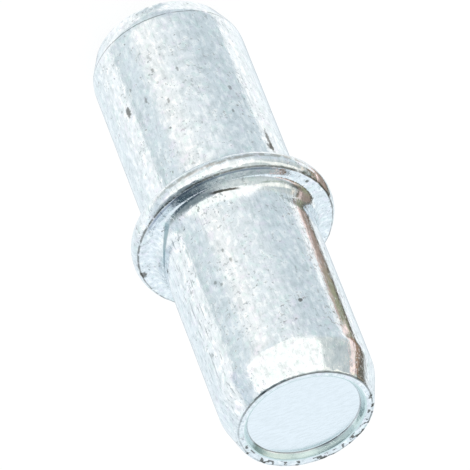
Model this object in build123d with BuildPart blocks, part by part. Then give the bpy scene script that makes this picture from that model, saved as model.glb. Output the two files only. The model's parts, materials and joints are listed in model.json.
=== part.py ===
from build123d import *
import os
from math import asin, degrees, radians, tan

# Shelf support pin for a 5 mm row of drilled holes, headed from round wire in one piece.
# It stands on its lower end: Z is the pin's axis, and z = 0 is the floor under the end rim.

# Driving dimensions, in millimetres and degrees
seat_diameter = 5.0
pin_length = 16.0

# Collar between the two seats: a crowned rim, two flat faces and a root into each seat
collar_height = 0.78
collar_thickness = 0.68
collar_crown = 0.12
collar_corner_radius = 0.06
collar_root_radius = 0.38

# Tapered nose at each end
nose_length = 0.95
nose_taper = 0.33
nose_start_radius = 0.9

# End face: a narrow rim round a shallow pressed recess
end_edge_radius = 0.08
rim_width = 0.27
recess_depth = 0.3
recess_draft = 5.0
recess_mouth_radius = 0.04
recess_floor_radius = 0.06

# Derived sizes
seat_radius = seat_diameter / 2
half_length = pin_length / 2
collar_radius = seat_radius + collar_height
collar_half = collar_thickness / 2
collar_corner = collar_radius - collar_crown
crown_radius = (collar_half**2 + collar_crown**2) / (2 * collar_crown)
crown_angle = degrees(asin(collar_half / crown_radius))
collar_face = collar_height - collar_crown - 2 * collar_corner_radius
root_radius = min(collar_root_radius, collar_face)
seat_start = collar_half + root_radius
seat_end = half_length - nose_length
nose_end_radius = seat_radius - nose_taper
recess_radius = nose_end_radius - rim_width
recess_floor = half_length - recess_depth
floor_radius = recess_radius - recess_depth * tan(radians(recess_draft))

# The section is drawn from the middle of the collar, x outwards and y along the pin
section_plane = Plane(origin=(0, 0, half_length), x_dir=(1, 0, 0), z_dir=(0, -1, 0))


def corners_at(sketch, radius, height):
    """The pair of corners at this radius, in the upper and the lower half of the section."""
    return [
        corner
        for corner in sketch.vertices()
        if abs(corner.X - radius) < 1e-4 and abs(abs(corner.Y) - height) < 1e-4
    ]


with BuildPart() as shelf_pin:
    with BuildSketch(section_plane) as section:
        with BuildLine() as outline:
            # Collar: half of the crowned rim, one face and the root that runs into the seat
            CenterArc((collar_radius - crown_radius, 0), crown_radius, 0, crown_angle)
            Line((collar_corner, collar_half), (seat_radius + root_radius, collar_half))
            CenterArc((seat_radius + root_radius, seat_start), root_radius, 180, 90)

            # Seat, nose, end rim and recess
            Polyline(
                (seat_radius, seat_start),
                (seat_radius, seat_end),
                (nose_end_radius, half_length),
                (recess_radius, half_length),
                (floor_radius, recess_floor),
                (0, recess_floor),
            )
            mirror(about=Plane.XZ)
            Line((0, recess_floor), (0, -recess_floor))
        make_face()
        fillet(corners_at(section, collar_corner, collar_half), collar_corner_radius)
        fillet(corners_at(section, seat_radius, seat_end), nose_start_radius)
        fillet(corners_at(section, nose_end_radius, half_length), end_edge_radius)
        fillet(corners_at(section, recess_radius, half_length), recess_mouth_radius)
        fillet(corners_at(section, floor_radius, recess_floor), recess_floor_radius)
    revolve(axis=Axis.Z)

shelf_pin.part.label = "shelf_pin"

os.makedirs("parts", exist_ok=True)
export_step(shelf_pin.part, "parts/shelf_pin.step")
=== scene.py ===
import json
import math

import bmesh
import bpy
from mathutils import Matrix, Vector, noise


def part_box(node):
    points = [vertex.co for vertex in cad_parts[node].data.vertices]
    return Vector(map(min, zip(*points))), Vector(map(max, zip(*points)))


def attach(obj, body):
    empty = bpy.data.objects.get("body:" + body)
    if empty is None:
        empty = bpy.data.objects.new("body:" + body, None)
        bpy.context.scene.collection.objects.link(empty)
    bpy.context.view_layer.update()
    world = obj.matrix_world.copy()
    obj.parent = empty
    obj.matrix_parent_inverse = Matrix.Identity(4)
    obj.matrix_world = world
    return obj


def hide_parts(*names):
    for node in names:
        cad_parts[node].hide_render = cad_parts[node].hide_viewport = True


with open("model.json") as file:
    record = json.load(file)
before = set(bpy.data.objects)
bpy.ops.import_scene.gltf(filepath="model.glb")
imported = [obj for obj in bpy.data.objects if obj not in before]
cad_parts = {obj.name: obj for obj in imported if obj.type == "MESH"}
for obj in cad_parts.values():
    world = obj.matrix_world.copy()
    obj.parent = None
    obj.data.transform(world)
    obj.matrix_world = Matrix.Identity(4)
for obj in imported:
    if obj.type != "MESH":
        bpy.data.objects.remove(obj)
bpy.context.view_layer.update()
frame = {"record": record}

# Sizes of the pin, in metres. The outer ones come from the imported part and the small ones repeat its
# source, apart from the dish in each end, which is a little shallower here and has a slacker wall.
MM = 0.001
pin_low, pin_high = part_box("shelf_pin")
seats = [mount for mount in frame["record"]["mounts"] if mount["kind"] == "pin"]
pin_length = pin_high.z - pin_low.z
middle = pin_length / 2
seat_radius = seats[0]["dims"]["r_mm"] * MM
collar_radius = min(pin_high.x, pin_high.y)
collar_half = 0.34 * MM
collar_crown = 0.12 * MM
collar_corner_radius = 0.06 * MM
collar_root_radius = 0.38 * MM
nose_length = 0.95 * MM
nose_taper = 0.33 * MM
nose_start_radius = 0.9 * MM
end_edge_radius = 0.08 * MM
rim_width = 0.27 * MM
dish_depth = 0.2 * MM
dish_draft = math.radians(30)
dish_mouth_round = 0.04 * MM
dish_floor_round = 0.06 * MM

crown_edge_radius = collar_radius - collar_crown
nose_end_radius = seat_radius - nose_taper
dish_radius = nose_end_radius - rim_width
dish_floor_radius = dish_radius - dish_depth * math.tan(dish_draft)

# The photograph's camera: the pin's axis leans this far from the line of sight
PHOTO_SIZE = 470
PHOTO_FOCAL = 7388
LEAN = math.radians(50.69)
ROLL = math.radians(158.55)
COLLAR_PIXEL = (231.85, 227.07)
SEAT_RADIUS_PIXELS = 80.37
AIM_BELOW_MIDDLE = 0.12 * MM
SENSOR_WIDTH = 36.0


class Shade:
    """A socket in a shader tree. Arithmetic on it adds Math nodes, and node() adds any other kind."""

    def __init__(self, tree, socket=None):
        self.tree = tree
        self.socket = socket

    def node(self, kind, settings=None, output=0, **inputs):
        """A new node's output. Each input is given by its name, or by its number after an n."""
        made = self.tree.nodes.new(kind)
        for name, value in (settings or {}).items():
            setattr(made, name, value)
        for name, value in inputs.items():
            target = made.inputs[int(name[1:]) if name[1:].isdigit() else name.replace("_", " ")]
            if isinstance(value, Shade):
                self.tree.links.new(value.socket, target)
            elif target.type == "RGBA":
                target.default_value = (*value[:3], 1.0)
            else:
                target.default_value = value
        return Shade(self.tree, made.outputs[output] if made.outputs else None)

    def math(self, operation, first, second=0.0):
        return self.node("ShaderNodeMath", {"operation": operation}, n0=first, n1=second)

    def __add__(self, other):
        return self.math("ADD", self, other)

    def __radd__(self, other):
        return self.math("ADD", other, self)

    def __sub__(self, other):
        return self.math("SUBTRACT", self, other)

    def __rsub__(self, other):
        return self.math("SUBTRACT", other, self)

    def __mul__(self, other):
        return self.math("MULTIPLY", self, other)

    def __rmul__(self, other):
        return self.math("MULTIPLY", other, self)

    def __pow__(self, other):
        return self.math("POWER", self, other)

    def __rpow__(self, other):
        return self.math("POWER", other, self)

    def smooth(self, low, high):
        """0 below low and 1 above high, or the other way round where low is the larger."""
        settings = {"interpolation_type": "SMOOTHSTEP", "clamp": True}
        return self.node("ShaderNodeMapRange", settings, n0=self, n1=low, n2=high, n3=0.0, n4=1.0)

    def mix(self, first, second):
        """A colour between first and second, with this value as the share of the second."""
        return self.node("ShaderNodeMix", {"data_type": "RGBA"}, 2, n0=self, n6=first, n7=second)

    def vector(self, operation, first, second=None, scale=None, output=0):
        inputs = {"n0": first, "n1": second, "n3": scale}
        given = {name: value for name, value in inputs.items() if value is not None}
        return self.node("ShaderNodeVectorMath", {"operation": operation}, output, **given)

    def parts(self):
        """The x, y and z of this vector."""
        split = self.node("ShaderNodeSeparateXYZ", n0=self)
        return [Shade(self.tree, output) for output in split.socket.node.outputs]


def empty_tree(owner):
    """The shader tree of a new material or world, with nothing in it."""
    owner.use_nodes = True
    owner.node_tree.nodes.clear()
    return Shade(owner.node_tree)


def hump(value, centre, reach):
    """1 where the value is at the centre, falling to 0 at this reach on both sides of it."""
    return value.smooth(centre - reach, centre) * value.smooth(centre + reach, centre)


def add_object(name, mesh, material):
    """An object at the origin, holding this mesh."""
    data = bpy.data.meshes.new(name)
    mesh.to_mesh(data)
    mesh.free()
    data.materials.append(material)
    made = bpy.data.objects.new(name, data)
    bpy.context.scene.collection.objects.link(made)
    return made


# The pin's section and its solid

RING_SPACING = 0.12 * MM
CROWN_STEPS = 12
ROUND_STEPS = 8
AROUND = 320
TOUCH = 1e-7


def crown_points():
    """The collar's rim: an arc from its lower corner to its upper one, as a few points of the wire."""
    radius = (collar_half ** 2 + collar_crown ** 2) / (2 * collar_crown)
    span = math.asin(collar_half / radius)
    turns = [span * (2 * step / CROWN_STEPS - 1) for step in range(1, CROWN_STEPS)]
    centre = collar_radius - radius
    return [(centre + radius * math.cos(turn), middle + radius * math.sin(turn)) for turn in turns]


def pin_section():
    """The half section from the lower dish to the upper one: corners, and the rounding of each."""
    lower_half = [
        ((0, dish_depth), 0),
        ((dish_floor_radius, dish_depth), dish_floor_round),
        ((dish_radius, 0), dish_mouth_round),
        ((nose_end_radius, 0), end_edge_radius),
        ((seat_radius, nose_length), nose_start_radius),
        ((seat_radius, middle - collar_half), collar_root_radius),
        ((crown_edge_radius, middle - collar_half), collar_corner_radius),
    ]
    upper_half = [
        ((radius, pin_length - height), rounding) for (radius, height), rounding in reversed(lower_half)
    ]
    return lower_half + [(point, 0) for point in crown_points()] + upper_half


def corner_offset(before, corner, after, radius):
    """How far back from a corner its rounding of this radius starts."""
    turn = (corner - before).angle(after - corner)
    return radius * math.tan(turn / 2)


def pin_mesh():
    """The pin, spun from its section, fine enough for its dents."""
    section = pin_section()
    points = [Vector((radius, 0, height)) for (radius, height), _ in section]
    mesh = bmesh.new()
    corners = [mesh.verts.new(point) for point in points]
    mesh.faces.new(corners)
    for index, (_, rounding) in enumerate(section):
        if rounding:
            bmesh.ops.bevel(
                mesh, geom=[corners[index]], offset=corner_offset(*points[index - 1:index + 2], rounding),
                offset_type="OFFSET", affect="VERTICES", segments=ROUND_STEPS, profile=0.5, material=-1,
            )
    bmesh.ops.delete(mesh, geom=mesh.faces[:], context="FACES_ONLY")
    along_axis = [edge for edge in mesh.edges if all(vert.co.x < TOUCH for vert in edge.verts)]
    bmesh.ops.delete(mesh, geom=along_axis, context="EDGES")
    for edge in mesh.edges[:]:
        cuts = int(edge.calc_length() / RING_SPACING)
        if cuts:
            bmesh.ops.subdivide_edges(mesh, edges=[edge], cuts=cuts)
    bmesh.ops.spin(
        mesh, geom=mesh.verts[:] + mesh.edges[:], cent=(0, 0, 0), axis=(0, 0, 1), angle=math.tau,
        steps=AROUND, use_merge=True,
    )
    bmesh.ops.remove_doubles(mesh, verts=mesh.verts[:], dist=TOUCH)
    bmesh.ops.recalc_face_normals(mesh, faces=mesh.faces[:])
    return mesh


# What makes this pin uneven: long roots, an end cut a little askew, noses of unlike length, rough
# corners and shallow dents

ROOT_STRETCH = 1.63
ROOT_END = 2.2 * MM
END_TILT = math.radians(1.2)
END_TILT_REACH = 1.3 * MM
END_TILT_FULL = 0.1 * MM
END_SHIFT = 0.04 * MM
EDGE_SHIFT = 0.06 * MM
NOSE_REACH = 1.7 * MM
UPPER_NOSE_GAIN = 0.12 * MM
LOWER_NOSE_LOSS = 0.15 * MM
NOSE_WAVER = 0.03 * MM
NOSE_WAVER_SIZE = 0.7 * MM
WAVE_DEPTH = 0.0035 * MM
WAVE_SIZE = 1.1 * MM
DENT_DEPTH = 0.02 * MM
DENT_SIZE = 0.28 * MM
DENT_RARITY = 0.42
DENTED_FROM, DENTED_FULLY = 2.0 * MM, 2.3 * MM
NEVER_DENTED = 1.2 * MM

# The roughness of each kind of corner: how far it reaches, how deep it cuts, the size of its waves,
# and where in the noise they start
COLLAR_ROUGHNESS = (0.15 * MM, 0.022 * MM, 0.24 * MM, 5)
RIM_ROUGHNESS = (0.14 * MM, 0.012 * MM, 0.22 * MM, 23)
MOUTH_ROUGHNESS = (0.1 * MM, 0.015 * MM, 0.3 * MM, 31)


def blend_in(value, low, high):
    """0 at low, 1 at high and a smooth step between them, whichever is the larger."""
    share = min(max((value - low) / (high - low), 0), 1)
    return share * share * (3 - 2 * share)


def ripple(place, size, start):
    """Smooth unevenness from -1 to 1, in waves of about this size."""
    return noise.noise(place / size + Vector((start, start, start)))


def long_roots(place):
    """Stretches each root along its seat, so that it runs out more gently than it leaves the collar."""
    gap = abs(place.z - middle)
    out = math.hypot(place.x, place.y)
    if not collar_half + TOUCH < gap < ROOT_END or out > seat_radius + collar_root_radius + TOUCH:
        return
    root_end = collar_half + collar_root_radius
    long_end = collar_half + collar_root_radius * ROOT_STRETCH
    if gap < root_end:
        gap = collar_half + (gap - collar_half) * ROOT_STRETCH
    else:
        gap = long_end + (gap - root_end) * (ROOT_END - long_end) / (ROOT_END - root_end)
    place.z = middle + math.copysign(gap, place.z - middle)


def uneven_ends(place):
    """Moves both nose starts down, cuts the upper end askew and sets its outer edge off centre."""
    below_top = pin_length - place.z
    upper_nose = blend_in(below_top, NOSE_REACH, nose_length) * blend_in(below_top, 0, nose_length)
    lower_nose = blend_in(place.z, NOSE_REACH, nose_length) * blend_in(place.z, 0, nose_length)
    waver = NOSE_WAVER * ripple(Vector((place.x, place.y, 0)), NOSE_WAVER_SIZE, 3)
    tilt = blend_in(below_top, END_TILT_REACH, END_TILT_FULL)
    place.z -= upper_nose * (UPPER_NOSE_GAIN + waver) + lower_nose * (LOWER_NOSE_LOSS + waver)
    place.z -= tilt * math.tan(END_TILT) * max(place.x + nose_end_radius, 0)
    place.x += tilt * END_SHIFT
    past_dish = math.hypot(place.x - END_SHIFT, place.y) - dish_radius
    place.y += tilt * EDGE_SHIFT * blend_in(past_dish, 0.02 * MM, 0.1 * MM)


def rough_corner(place, radius, height, roughness):
    """Draws the ring of points near this corner of the section inwards, by an uneven depth."""
    reach, depth, wave, start = roughness
    full_depth_within = 0.15 * reach
    out = math.hypot(place.x, place.y)
    near = blend_in(math.hypot(out - radius, place.z - height), reach, full_depth_within)
    if near == 0:
        return
    cut = 0.5 + 0.6 * ripple(place, wave, start) + 0.5 * ripple(place, 0.4 * wave, start)
    shift = near * depth * max(cut, 0)
    inward = 1 - shift / out
    place.x *= inward
    place.y *= inward
    place.z -= math.copysign(shift, height - middle)


def dents(place):
    """Broad shallow waves and a few small dents, all over the pin's sides."""
    out = math.hypot(place.x, place.y)
    if out < NEVER_DENTED:
        return
    waves = WAVE_DEPTH * (1 + ripple(place, WAVE_SIZE, 11))
    small = DENT_DEPTH * max(ripple(place, DENT_SIZE, 17) - DENT_RARITY, 0)
    inward = 1 - blend_in(out, DENTED_FROM, DENTED_FULLY) * (waves + small) / out
    place.x *= inward
    place.y *= inward


def worn_pin_mesh():
    """The pin with all its unevenness, every bit of it inside the CAD part's box."""
    mesh = pin_mesh()
    corner_inset = 0.3 * collar_corner_radius
    for vert in mesh.verts:
        place = vert.co
        long_roots(place)
        for side in (-1, 1):
            collar_face = middle + side * (collar_half - corner_inset)
            end = middle + side * middle
            rough_corner(place, crown_edge_radius - corner_inset, collar_face, COLLAR_ROUGHNESS)
            rough_corner(place, nose_end_radius, end, RIM_ROUGHNESS)
            rough_corner(place, dish_radius, end, MOUTH_ROUGHNESS)
        dents(place)
        uneven_ends(place)
    return mesh


def make_pin():
    pin = add_object("plated_pin", worn_pin_mesh(), zinc_finish())
    pin.data.shade_smooth()
    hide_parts("shelf_pin")
    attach(pin, "root")


# The finish: bright zinc with a fine grain, pits and lengthwise marks, and painted shade and painted dark
# reflections in the corners and on the upper end.
# It works in millimetres from the pin's foot and axis, and in degrees round it: 0 faces the
# photograph's camera and a positive turn is to the picture's left.

TOP = pin_length / MM
COLLAR_MIDDLE = middle / MM
COLLAR_FACE = (middle + collar_half) / MM
COLLAR_EDGE = collar_radius / MM
CROWN_EDGE = crown_edge_radius / MM
SEAT = seat_radius / MM
RIM_EDGE = nose_end_radius / MM
DISH_MOUTH = dish_radius / MM
DISH_FLOOR = dish_floor_radius / MM
LOWER_NOSE = (nose_length - LOWER_NOSE_LOSS) / MM

PLATING = (0.80, 0.85, 0.89)
DULL_ZINC = (0.62, 0.67, 0.69)
VIOLET_ZINC = (0.84, 0.80, 0.90)
GREEN_ZINC = (0.72, 0.86, 0.84)
BRIGHT_ZINC = (0.97, 0.99, 1.0)
GREY_ZINC = (0.52, 0.58, 0.60)
GRAIN_GREY = (0.50, 0.55, 0.57)
DASH_GREY = (0.34, 0.38, 0.40)
DISH_WALL_GREEN = (0.60, 0.72, 0.72)
# Painted dark reflections: brownish on the collar's crown, navy inside its upper corner and teal at its
# root
CROWN_REFLECTION_BROWN = (0.40, 0.39, 0.36)
LINE_NAVY = (0.30, 0.35, 0.44)
ROOT_TEAL = (0.25, 0.36, 0.40)
# The dark colour of grime and pits, and of the painted shade and painted dark reflections
GRIME_AND_SHADE = (0.075, 0.075, 0.065)

# How the grain's waves are drawn out: a smaller number makes them longer that way
LENGTHWISE = (1.0, 1.0, 0.13)
STREAKY = (1.0, 1.0, 0.55)
CROSSWISE = (0.25, 1.0, 1.0)

# Lines on the collar. The navy line, a painted dark reflection, lies inside the crowned rim's edge. The
# teal line, also a painted dark reflection, climbs from the root by TEAL_SLOPE a degree, and crosses
# TEAL_HEIGHT at TEAL_TURN.
# The crack in the root sinks.
NAVY_RADIUS = CROWN_EDGE - 0.079
TEAL_TURN = 63
TEAL_HEIGHT = COLLAR_FACE + 0.447
TEAL_SLOPE = 0.0171
CRACK_HEIGHT = COLLAR_FACE + 0.2
CRACK_SLOPE = 0.0047
# Height of the painted dark reflection in the collar's root, on the right
ROOT_REFLECTION_HEIGHT = COLLAR_FACE + 0.1
# Height of the painted shade where the lower nose starts
CREASE_HEIGHT = LOWER_NOSE + 0.03

# Dark spots: turn, height, half the width, half the length, and distance from the axis. The first two large
# ones, on the lower seat near the collar, are a painted dark reflection.
LARGE_SPOTS_AND_REFLECTION = (
    (-55.5, 6.30, 0.08, 0.50, SEAT), (-54.5, 6.62, 0.14, 0.16, SEAT), (43, 3.52, 0.10, 0.26, SEAT),
    (-27, 13.35, 0.08, 0.08, SEAT), (91, 8.33, 0.14, 0.12, 3.10), (-64, 8.34, 0.07, 0.07, 2.98),
)
SMALL_MARKS = (
    (34, 2.94, 0.05, 0.08, SEAT), (-38, 4.22, 0.07, 0.12, SEAT), (-33, 5.25, 0.05, 0.08, SEAT),
    (-5, 3.15, 0.05, 0.10, SEAT), (25, 3.70, 0.05, 0.12, SEAT), (12, 2.81, 0.05, 0.10, SEAT),
    (9, 4.22, 0.05, 0.10, SEAT), (26, 11.53, 0.06, 0.08, SEAT), (22, 11.75, 0.06, 0.07, SEAT),
    (12, 10.6, 0.05, 0.10, SEAT), (9, 11.1, 0.05, 0.10, SEAT),
)


class PinSurface:
    """Where a point of the pin's surface lies, with the grains and masks that the finish is made of."""

    def __init__(self, shade):
        self.shade = shade
        self.spot = shade.vector("SCALE", shade.node("ShaderNodeTexCoord", output="Object"), scale=1 / MM)
        self.x, self.y, self.z = self.spot.parts()
        self.radius = self.distance_from(0.0, 0.0)
        self.turn = shade.math("ARCTAN2", self.x, self.y * -1.0) * math.degrees(1)
        self.fine = self.grain(15.0, 3.0)
        self.coarse = self.grain(5.5)
        self.mottle = self.grain(1.6, 3.0)
        self.ragged = self.grain(14.0) * 1.6
        # The upper end, whose dish is a little off the axis, and the half of it away from the camera
        self.end_radius = self.distance_from(END_SHIFT / MM, 0.0)
        self.back = self.y.smooth(-0.6, 0.4)
        self.rim_zone = self.z.smooth(TOP - 0.4, TOP - 0.3)
        self.end_zone = self.z.smooth(TOP - 0.8, TOP - 0.7)
        self.dish = self.end_radius.smooth(DISH_MOUTH + 0.045, DISH_MOUTH + 0.035) * self.end_zone
        self.dish_floor = self.end_radius.smooth(DISH_FLOOR + 0.015, DISH_FLOOR - 0.025) * self.end_zone

    def distance_from(self, x, y):
        """The distance from an upright line."""
        return ((self.x - x) ** 2.0 + (self.y - y) ** 2.0) ** 0.5

    def grain(self, scale, detail=2.0, stretch=None):
        place = self.shade.vector("MULTIPLY", self.spot, stretch) if stretch else self.spot
        kind = {"noise_dimensions": "3D"}
        return self.shade.node("ShaderNodeTexNoise", kind, Vector=place, Scale=scale, Detail=detail)

    def ring(self, across, middle_at, half):
        """A line round the pin where this distance is near the given one."""
        return self.shade.math("ABSOLUTE", across - middle_at).smooth(half, 0.45 * half)

    def spread(self, low, high, soft=8):
        """1 on the part of the pin's side between two turns."""
        return self.turn.smooth(low - soft, low + soft) * self.turn.smooth(high + soft, high - soft)

    def mark(self, turn_at, height_at, half_width, half_length, out):
        """A dark spot with ragged edges."""
        sideways = (self.turn - turn_at) * (math.radians(out) / half_width)
        along = (self.z - height_at) * (1 / half_length)
        outwards = (self.radius - out) * (1 / half_width)
        gap = (sideways * sideways + along * along + outwards * outwards) ** 0.5
        return (gap + self.ragged).smooth(2.0, 1.3)


def clean_zinc(pin):
    """The zinc's colour with its blotches, dashes and pits, and the height of its grain."""
    dashes = pin.grain(13.0, stretch=LENGTHWISE).smooth(0.58, 0.68)
    scratches = pin.grain(24.0, stretch=LENGTHWISE).smooth(0.58, 0.72)
    flecks = pin.grain(10.0, 1.0).smooth(0.60, 0.68) * pin.grain(1.5).smooth(0.48, 0.60)
    pits = pin.grain(6.0).smooth(0.68, 0.75)
    tint = pin.grain(4.0, 1.0)
    blotch = pin.grain(6.5, 4.0, STREAKY)
    above_collar = pin.z.smooth(COLLAR_FACE + 0.36, COLLAR_FACE + 0.66)
    dashed_side = pin.spread(40, 82, 4) * above_collar + pin.spread(-88, -66, 4) * 0.6
    below_nose = pin.z.smooth(TOP - 1.0, TOP - 1.4)

    # Each layer over the plating: its grain, where in the grain it starts and is full, its share, its tone
    layers = (
        (pin.mottle, 0.35, 0.65, 0.3, DULL_ZINC),
        (tint, 0.42, 0.30, 0.5, VIOLET_ZINC),
        (tint, 0.58, 0.70, 0.5, GREEN_ZINC),
        (blotch, 0.52, 0.64, 0.75, BRIGHT_ZINC),
        (blotch, 0.47, 0.34, 0.45, GREY_ZINC),
        (pin.fine, 0.52, 0.72, 0.3, GRAIN_GREY),
    )
    colour = PLATING
    for grain, start, full, share, tone in layers:
        colour = (grain.smooth(start, full) * share).mix(colour, tone)
    colour = (dashes * (0.18 + dashed_side * 0.5) + scratches * 0.15).mix(colour, DASH_GREY)
    colour = ((flecks * 0.32 + pits * 0.48) * below_nose).mix(colour, GRIME_AND_SHADE)
    pressed = (pin.grain(16.0, stretch=CROSSWISE).smooth(0.35, 0.7) * 0.3).mix(PLATING, DULL_ZINC)
    colour = pin.dish_floor.mix(colour, pressed)
    wall = pin.dish * pin.end_radius.smooth(DISH_FLOOR + 0.015, DISH_FLOOR + 0.035)
    colour = wall.mix(colour, DISH_WALL_GREEN)

    raised = pin.fine * 0.0012 + pin.coarse * 0.0026
    sunk = dashes * 0.0015 + scratches * 0.0008 + flecks * 0.003 + pits * 0.0056
    return colour, (raised - sunk) * (1 - pin.dish_floor * 0.75)


def collar_lines(pin, colour):
    """Adds painted dark reflections: a speckled band on the collar's crown, the navy line inside its upper
    corner and the teal line at its root.
    """
    # A speckled painted dark reflection on the collar's crown
    crown = pin.ring(pin.z + pin.mottle * 0.1, COLLAR_MIDDLE - 0.02, 0.10) * pin.spread(-75, 30, 15)
    crown = crown * pin.radius.smooth(COLLAR_EDGE - 0.074, COLLAR_EDGE - 0.034)
    colour = (crown * pin.grain(6.0).smooth(0.3, 0.6) * 0.8).mix(colour, CROWN_REFLECTION_BROWN)
    # The navy line, a painted dark reflection
    navy = pin.ring(pin.radius, NAVY_RADIUS, 0.055) * pin.spread(-38, 52)
    navy = navy * pin.z.smooth(COLLAR_FACE - 0.04, COLLAR_FACE - 0.01)
    colour = (navy * 0.8).mix(colour, LINE_NAVY)
    # The teal line, a painted dark reflection
    teal = pin.ring(pin.z - (pin.turn - TEAL_TURN) * TEAL_SLOPE, TEAL_HEIGHT, 0.10) * pin.spread(40, 86, 5)
    teal = teal * pin.radius.smooth(SEAT + 0.25, SEAT + 0.2)
    return (teal * 0.85).mix(colour, ROOT_TEAL)


def collar_shade_and_crack(pin):
    """Painted shade at the collar's upper corner and where the lower nose starts, a dark crack in its root,
    and on its right a painted dark reflection in the root.
    """
    # Painted shade along the collar's upper corner
    corner_gap = ((pin.radius - CROWN_EDGE - 0.011) ** 2.0 + (pin.z - COLLAR_FACE + 0.015) ** 2.0) ** 0.5
    corner = corner_gap.smooth(0.06, 0.02) * pin.grain(5.0).smooth(0.30, 0.48)
    in_root = pin.radius.smooth(SEAT + 0.3, SEAT + 0.2)
    wandering = pin.z + pin.turn * CRACK_SLOPE + pin.fine * 0.05
    crack = pin.ring(wandering, CRACK_HEIGHT, 0.045) * pin.spread(-14, 5, 3) * in_root
    # A painted dark reflection in the root, on the right
    root_reflection = pin.ring(pin.z, ROOT_REFLECTION_HEIGHT, 0.05) * pin.spread(-66, -54, 4) * in_root
    # Painted shade where the lower nose starts
    crease = pin.ring(pin.z + pin.mottle * 0.06, CREASE_HEIGHT, 0.028)
    crease = crease * pin.radius.smooth(SEAT - 0.10, SEAT - 0.07) * pin.grain(3.0).smooth(0.28, 0.45)
    return corner * 0.75 + crack * 0.95 + root_reflection * 0.6 + crease * 0.6


def end_shade_and_marks(pin):
    """A painted dark reflection round the upper end's edge, broken dark marks on its rim and near its
    dish's mouth, and painted shade round its dish's floor.
    """
    # A painted dark reflection round the end's outer edge, broken at the back
    edge_radius = pin.distance_from(END_SHIFT / MM, EDGE_SHIFT / MM)
    edge = pin.ring(edge_radius + pin.back * 0.03, RIM_EDGE - 0.035, 0.034) * pin.rim_zone
    edge = edge * (1 - pin.back * pin.grain(3.2).smooth(0.55, 0.42) * 0.65)
    edge = edge * (1 - pin.turn.smooth(40, 70) * 0.5)
    back_rim = pin.rim_zone * pin.back
    land = pin.ring(pin.end_radius + pin.coarse * 0.06, DISH_MOUTH + 0.1, 0.035) * back_rim
    land = land * pin.grain(2.4).smooth(0.50, 0.58)
    broken = (pin.grain(4.5) + pin.grain(11.0, 1.0) * 0.3).smooth(0.71, 0.76)
    rim = pin.end_radius.smooth(DISH_MOUTH + 0.07, DISH_MOUTH + 0.1) * back_rim * broken
    # Painted shade round the dish's floor, at the back
    floor = pin.ring(pin.end_radius + pin.coarse * 0.01, DISH_FLOOR + 0.0055, 0.022)
    floor = floor * pin.end_zone * pin.back
    return edge * 0.7 + rim * 0.85 + land * 0.8 + floor * 0.42


def zinc_finish():
    """The plating with its painted dark reflections, and the grime, painted shade and dark spots over them.
    """
    material = bpy.data.materials.new("zinc_plating")
    shade = empty_tree(material)
    pin = PinSurface(shade)
    colour, height = clean_zinc(pin)
    colour = collar_lines(pin, colour)
    # Painted shade and painted dark reflections go on in the same dark colour as the grime and spots
    large_spots_and_reflection = sum(pin.mark(*place) for place in LARGE_SPOTS_AND_REFLECTION)
    small = sum(pin.mark(*place) for place in SMALL_MARKS)
    grime_and_shade = collar_shade_and_crack(pin) + end_shade_and_marks(pin) + large_spots_and_reflection * 0.8 + small * 0.5
    colour = shade.math("MINIMUM", grime_and_shade, 1.0).mix(colour, GRIME_AND_SHADE)
    bump = shade.node("ShaderNodeBump", None, "Normal", Height=height, Strength=1.0, Distance=MM)
    surface = shade.node(
        "ShaderNodeBsdfPrincipled", None, "BSDF", Base_Color=colour, Metallic=1.0,
        Roughness=pin.mottle * 0.04 + 0.05 + pin.dish * 0.12, Normal=bump,
    )
    shade.node("ShaderNodeOutputMaterial", Surface=surface)
    return material


# The studio: a white table, a soft box over it, and the dim room beyond. A direction in it is a turn
# round TABLE_UP, from the pin's upper end towards ACROSS, and a climb above the table, in degrees.

TABLE_UP = Vector((-0.2413, -0.9705, 0.0))
ACROSS = Vector((-0.9705, 0.2413, 0.0))
VIEW_BACK = Vector((0.0, -math.sin(LEAN), math.cos(LEAN)))
SOFT_BOX = (1.3, 1.28, 1.22)
SOFT_BOX_EDGE = 62
WHITE = (1.0, 1.0, 1.0)

# Where the soft box's edge rises or drops: by how much, round which turn, and how far either way
EDGE_SHIFTS = ((8, -15, 60), (-38, -92, 44), (-12, 94, 40))

# Ovals in the studio: turn and climb of the middle, reach across and up, and the shares of that reach
# where the oval starts to fade and has gone
DIM_CORNER = (-42, 28, 38, 40, 0.4, 1.2)
DARK_GAP = (-25, 4, 23, 13, 0.5, 1.3)
DIM_TABLE_END = (163.6, -48.7, 24, 18, 0.1, 1.2)
FRONT_TO_BACK = (104, 122)


def light(red, green, blue):
    """The light that the plating sends back as this screen colour."""
    screen = [((value / 255 + 0.055) / 1.055) ** 2.4 for value in (red, green, blue)]
    return [value / share for value, share in zip(screen, PLATING)]


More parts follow.
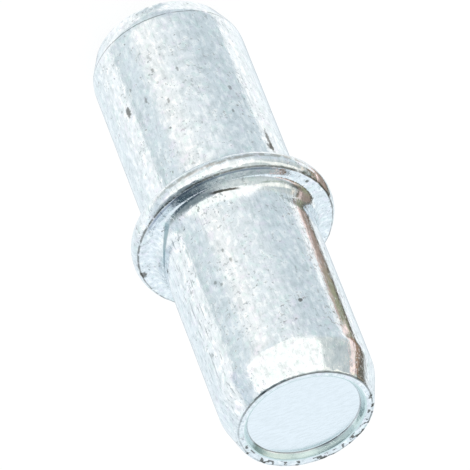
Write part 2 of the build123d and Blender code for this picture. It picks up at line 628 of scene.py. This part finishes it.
class StudioDirection:
    """A direction in the studio, and the colour of what is seen that way."""

    def __init__(self, shade):
        toward = shade.vector("NORMALIZE", shade.node("ShaderNodeTexCoord", output="Generated"))
        up = shade.vector("DOT_PRODUCT", toward, tuple(TABLE_UP), output="Value")
        self.across = shade.vector("DOT_PRODUCT", toward, tuple(ACROSS), output="Value")
        self.along = toward.parts()[2]
        self.turn = shade.math("ARCTAN2", self.across, self.along) * math.degrees(1)
        self.climb = shade.math("ARCSINE", up) * math.degrees(1)
        self.behind = shade.math("ABSOLUTE", self.turn).smooth(*FRONT_TO_BACK)

    def oval(self, turn_at, climb_at, turn_reach, climb_reach, fades_from, gone_at):
        """1 inside an oval of directions and 0 outside it."""
        sideways = (self.turn - turn_at) * (1 / turn_reach)
        upwards = (self.climb - climb_at) * (1 / climb_reach)
        return ((sideways * sideways + upwards * upwards) ** 0.5).smooth(gone_at, fades_from)

    def front_room(self):
        """The walls round the camera, paler higher up."""
        turn, climb = self.turn, self.climb
        low = turn.smooth(-90, -60).mix(light(198, 214, 226), light(176, 187, 190))
        high = turn.smooth(-60, 20).mix(light(230, 240, 246), light(206, 216, 217))
        return climb.smooth(-5, 35).mix(low, high)

    def back_room(self):
        """The walls behind the pin, palest at middle height on the left and at the top on the right."""
        climb = self.climb
        left = climb.smooth(4, 13).mix(light(208, 222, 228), light(218, 231, 238))
        left = climb.smooth(21, 38).mix(left, light(246, 251, 253))
        left = climb.smooth(41, 53).mix(left, light(230, 241, 246))
        right = climb.smooth(34, 62).mix(light(205, 219, 227), light(242, 249, 253))
        return self.across.smooth(-0.2, 0.1).mix(left, right)

    def room(self):
        """All the walls, with a dim corner, a window between two posts, the soft box and a pale trim."""
        turn, climb = self.turn, self.climb
        room = self.behind.mix(self.front_room(), self.back_room())
        room = self.oval(*DIM_CORNER).mix(room, light(124, 139, 146))
        left_post = hump(turn, 56, 7) * climb.smooth(2, 10) * climb.smooth(46, 36)
        room = left_post.mix(room, light(168, 180, 170))
        window = turn.smooth(62, 68) * turn.smooth(90, 85) * climb.smooth(6, 12)
        room = window.mix(room, light(248, 252, 248))
        right_post = hump(turn, 96, 9) * climb.smooth(8, 14) * climb.smooth(44, 30)
        room = right_post.mix(room, light(186, 198, 202))
        edge = sum((hump(turn, at, reach) * shift for shift, at, reach in EDGE_SHIFTS), SOFT_BOX_EDGE)
        room = (climb - edge).smooth(-4, 4).mix(room, SOFT_BOX)
        trim = hump(turn, 96, 26) * hump(climb, 5, 5)
        return trim.mix(room, light(246, 240, 228))

    def table(self):
        """The white table, duller far below the horizon and at the end that outlines mirror."""
        near = self.climb.smooth(-8, -46).mix(light(246, 253, 257), light(226, 239, 247))
        table = self.along.smooth(-0.2, 0.5).mix(near, light(231, 244, 253))
        return (self.oval(*DIM_TABLE_END) * 0.8).mix(table, light(150, 164, 178))

    def boards(self):
        """Dark boards on the table's right side, paler in a band across them."""
        pale_band = self.climb.smooth(-3.5, -5) * self.climb.smooth(-11, -9)
        colour = pale_band.mix(light(112, 112, 106), light(158, 142, 126))
        return self.turn.smooth(92, 82).mix(colour, light(116, 123, 114))

    def colour(self):
        """The table below the horizon and the room above it, with a dark gap between them at the front."""
        turn, climb = self.turn, self.climb
        table, room = self.table(), self.room()
        front = climb.smooth(-3, 2).mix(table, room)
        back_edge = climb - self.across.smooth(0.0, 0.3) * 3
        colour = self.behind.mix(front, back_edge.smooth(-1.0, 0.8).mix(table, room))
        colour = self.oval(*DARK_GAP).mix(colour, light(70, 88, 100))
        on_boards = turn.smooth(54, 60) * turn.smooth(118, 110)
        on_boards = on_boards * climb.smooth(-24, -18) * climb.smooth(0.5, -1)
        return on_boards.mix(colour, self.boards())


def studio_sky():
    """The studio as the plating sees it, and plain white to the camera."""
    world = bpy.data.worlds.new("studio")
    bpy.context.scene.world = world
    shade = empty_tree(world)
    studio = shade.node("ShaderNodeBackground", Color=StudioDirection(shade).colour(), Strength=1.0)
    white = shade.node("ShaderNodeBackground", Color=WHITE, Strength=1.0)
    seen = shade.node("ShaderNodeLightPath", output="Is Camera Ray")
    both = shade.node("ShaderNodeMixShader", n0=seen, n1=studio, n2=white)
    shade.node("ShaderNodeOutputWorld", Surface=both)


# A narrow brown card beside the upper seat, seen only in the plating. It works in millimetres.

CARD_FOOT = Vector((-5.30, 1.30, 5.0))
CARD_TOP = Vector((-5.60, -0.05, 15.2))
CARD_SPREAD = Vector((0.5, 0.866, 0.0))
CARD_HALF_WIDTH = 0.95


def card_finish():
    """Pinkish brown below and olive above, from a pale edge on one side to a dark one on the other."""
    material = bpy.data.materials.new("brown_card")
    shade = empty_tree(material)
    spot = shade.vector("SCALE", shade.node("ShaderNodeTexCoord", output="Object"), scale=1 / MM)
    rise = spot.parts()[2]
    lean = (CARD_TOP - CARD_FOOT).dot(CARD_SPREAD) / (CARD_TOP.z - CARD_FOOT.z)
    waver = shade.node("ShaderNodeTexNoise", {"noise_dimensions": "3D"}, Vector=spot, Scale=1.6, Detail=2.0)
    across = shade.vector("DOT_PRODUCT", spot, tuple(CARD_SPREAD), output="Value")
    across = across - CARD_FOOT.dot(CARD_SPREAD) - (rise - CARD_FOOT.z) * lean + (waver - 0.5) * 0.5

    cream = light(248, 232, 230)
    brown = rise.smooth(8.0, 10.0).mix(light(160, 146, 138), light(150, 154, 132))
    brown = rise.smooth(11.6, 12.0).mix(brown, light(150, 130, 114))
    colour = across.smooth(-0.7, -0.35).mix(light(192, 178, 172), brown)
    colour = across.smooth(0.35, 0.6).mix(colour, light(104, 102, 94))
    lower_edge = across.smooth(-0.58, -0.66) * rise.smooth(8.8, 7.4)
    colour = lower_edge.mix(colour, cream)
    break_in_brown = across.smooth(0.3, 0.1) * hump(rise, 11.3, 0.45)
    colour = break_in_brown.mix(colour, cream)
    upper_edge = across.smooth(-0.05, -0.2) * rise.smooth(11.8, 12.2)
    colour = upper_edge.mix(colour, cream)
    glow = shade.node("ShaderNodeEmission", Color=colour, Strength=1.0)
    shade.node("ShaderNodeOutputMaterial", Surface=glow)
    return material


def make_card():
    side = CARD_SPREAD * CARD_HALF_WIDTH
    corners = (CARD_FOOT - side, CARD_FOOT + side, CARD_TOP + side, CARD_TOP - side)
    mesh = bmesh.new()
    mesh.faces.new([mesh.verts.new(corner * MM) for corner in corners])
    card = add_object("brown_card", mesh, card_finish())
    card.visible_camera = card.visible_diffuse = card.visible_shadow = card.visible_transmission = False


# The floor: white to the camera, but for the pin's shadow, and plain pale paint to everything else

FLOOR_HALF = 2.0
FLOOR_GLOW = 0.875
SHADOW_SHARE = (0.2, 0.2, 0.2)
PALE_PAINT = (0.8, 0.8, 0.8)


def floor_finish():
    """The camera sees the glow, and a little paint that the pin's shadow can darken."""
    material = bpy.data.materials.new("floor_white")
    shade = empty_tree(material)
    shadowed = shade.node("ShaderNodeBsdfDiffuse", Color=SHADOW_SHARE)
    glow = shade.node("ShaderNodeEmission", Color=WHITE, Strength=FLOOR_GLOW)
    lit = shade.node("ShaderNodeAddShader", n0=shadowed, n1=glow)
    plain = shade.node("ShaderNodeBsdfDiffuse", Color=PALE_PAINT)
    seen = shade.node("ShaderNodeLightPath", output="Is Camera Ray")
    both = shade.node("ShaderNodeMixShader", n0=seen, n1=plain, n2=lit)
    shade.node("ShaderNodeOutputMaterial", Surface=both)
    return material


def make_floor():
    mesh = bmesh.new()
    bmesh.ops.create_grid(mesh, x_segments=1, y_segments=1, size=FLOOR_HALF)
    floor = add_object("floor", mesh, floor_finish())
    floor.visible_glossy = False


def make_camera():
    """Stands where the photograph was taken from, with the collar's centre at its pixel."""
    ahead = -VIEW_BACK
    right = Vector((1, 0, 0))
    above = right.cross(ahead)
    image_right = math.cos(ROLL) * right + math.sin(ROLL) * above
    image_up = -math.sin(ROLL) * right + math.cos(ROLL) * above
    distance = PHOTO_FOCAL * seat_radius / SEAT_RADIUS_PIXELS
    pixel = distance / PHOTO_FOCAL
    across = (COLLAR_PIXEL[0] - PHOTO_SIZE / 2) * pixel
    down = (COLLAR_PIXEL[1] - PHOTO_SIZE / 2) * pixel
    collar = Vector((0, 0, middle - AIM_BELOW_MIDDLE))
    data = bpy.data.cameras.new("photo_view")
    data.sensor_width = SENSOR_WIDTH
    data.lens = SENSOR_WIDTH * PHOTO_FOCAL / PHOTO_SIZE
    data.clip_start, data.clip_end = 0.01, 10.0
    camera = bpy.data.objects.new("photo_view", data)
    bpy.context.scene.collection.objects.link(camera)
    camera.location = collar - across * image_right + down * image_up - distance * ahead
    camera.rotation_euler = Matrix((image_right, image_up, -ahead)).transposed().to_euler()
    bpy.context.scene.camera = camera


make_pin()
make_floor()
make_card()
studio_sky()
make_camera()
bpy.context.scene.view_settings.view_transform = "Standard"
